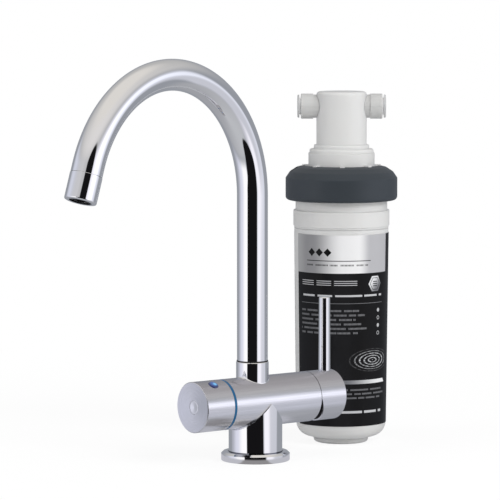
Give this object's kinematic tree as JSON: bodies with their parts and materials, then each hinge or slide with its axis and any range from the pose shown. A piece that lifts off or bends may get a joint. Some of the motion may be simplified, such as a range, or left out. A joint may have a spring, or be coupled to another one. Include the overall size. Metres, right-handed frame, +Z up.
{
  "type": "under-sink water filter with three-way tap",
  "caption": "Chrome three-way kitchen tap with a swivelling swan neck, filter knob and mixer lever, beside a quick-twist filter cartridge with push-fit ports.",
  "frame": {"origin": "centre of the tap's underside, on the axis of its fixing stud, level with the plane that the tap and the filter stand on", "axes": "+Z up; +X along the tap's barrel towards the mixer lever; -Y is the side that the spout's tip leans to and that the user faces"},
  "size_m": [0.3637, 0.1332, 0.3085],
  "materials": {
    "chrome": "bright chrome plate, with fine turning marks on the knob and handle",
    "brass": "bare turned brass",
    "steel": "stainless steel as turned",
    "seal_rubber": "matt black rubber",
    "blue_plastic": "glossy blue plastic",
    "white_plastic": "moulded warm white plastic, half gloss",
    "grey_plastic": "moulded dark blue-grey plastic, half gloss",
    "collet_plastic": "moulded light grey plastic",
    "black_plastic": "matt black plastic",
    "inner_plastic": "plain white plastic",
    "ceramic": "lapped ceramic",
    "carbon": "pressed black carbon",
    "label_film": null
  },
  "bodies": {
    "root": {"tap_body": "chrome", "base_ring": "chrome", "inlet_block": "brass", "cartridge_nut": "brass", "filter_valve": "brass", "spout_lock_screw": "steel", "base_seal": "seal_rubber", "disc_seal": "seal_rubber", "spigot_seals": "seal_rubber", "block_seal": "seal_rubber", "blue_ring": "blue_plastic", "cartridge_shell": "white_plastic", "cartridge_cap": "white_plastic", "cartridge_dome": "black_plastic", "mixer_cartridge": "inner_plastic", "core_tube": "inner_plastic", "lower_end_cap": "inner_plastic", "upper_end_cap": "inner_plastic", "fixed_disc": "ceramic", "carbon_block": "carbon", "cartridge_label": "label_film"},
    "spout": {"spout_tube": "chrome", "filtered_tube": "inner_plastic", "inner_tube_seal": "seal_rubber", "spout_spigot": "brass", "spout_seals": "seal_rubber", "spout_bearing": "black_plastic", "aerator_housing": "chrome", "aerator_washer": "seal_rubber", "aerator_insert": "black_plastic"},
    "knob": {"filter_knob": "chrome", "knob_marker": "blue_plastic", "knob_cap": "chrome", "knob_screw": "steel", "valve_spindle": "brass", "moving_disc": "ceramic"},
    "carrier": {"stem_carrier": "inner_plastic", "carrier_pin": "steel"},
    "handle": {"mixer_stem": "steel", "mixer_handle": "chrome", "lever_rod": "chrome", "handle_grub_screw": "steel"},
    "head": {"filter_head": "white_plastic", "locking_collar": "grey_plastic", "inlet_port": "white_plastic", "outlet_port": "white_plastic", "inlet_seal": "seal_rubber", "outlet_seal": "seal_rubber"},
    "inlet_collet": {"inlet_collet": "collet_plastic"},
    "outlet_collet": {"outlet_collet": "collet_plastic"}
  },
  "joints": [
    {"name": "spout_swivel", "type": "hinge", "parent": "root", "child": "spout", "pos_m": [-0.003, 0, 0.07], "axis": [0, 0, 1], "range_deg": [0, 156]},
    {"name": "filter_knob_turn", "type": "hinge", "parent": "root", "child": "knob", "pos_m": [-0.045, 0, 0.045], "axis": [1, 0, 0], "range_deg": [0, 90]},
    {"name": "mixer_turn", "type": "hinge", "parent": "root", "child": "carrier", "pos_m": [0.0505, 0, 0.045], "axis": [1, 0, 0], "range_deg": [-45, 45]},
    {"name": "mixer_tilt", "type": "hinge", "parent": "carrier", "child": "handle", "pos_m": [0.0505, 0, 0.045], "axis": [0, 1, 0], "range_deg": [0, 18]},
    {"name": "head_twist", "type": "hinge", "parent": "root", "child": "head", "pos_m": [0.1177, 0.0392, 0.2], "axis": [0, 0, 1], "range_deg": [0, 90]},
    {"name": "inlet_collet_press", "type": "slide", "parent": "head", "child": "inlet_collet", "axis": [0.7842, -0.6205, 0], "range_m": [0, 0.001]},
    {"name": "outlet_collet_press", "type": "slide", "parent": "head", "child": "outlet_collet", "axis": [-0.7842, 0.6205, 0], "range_m": [0, 0.001]}
  ]
}
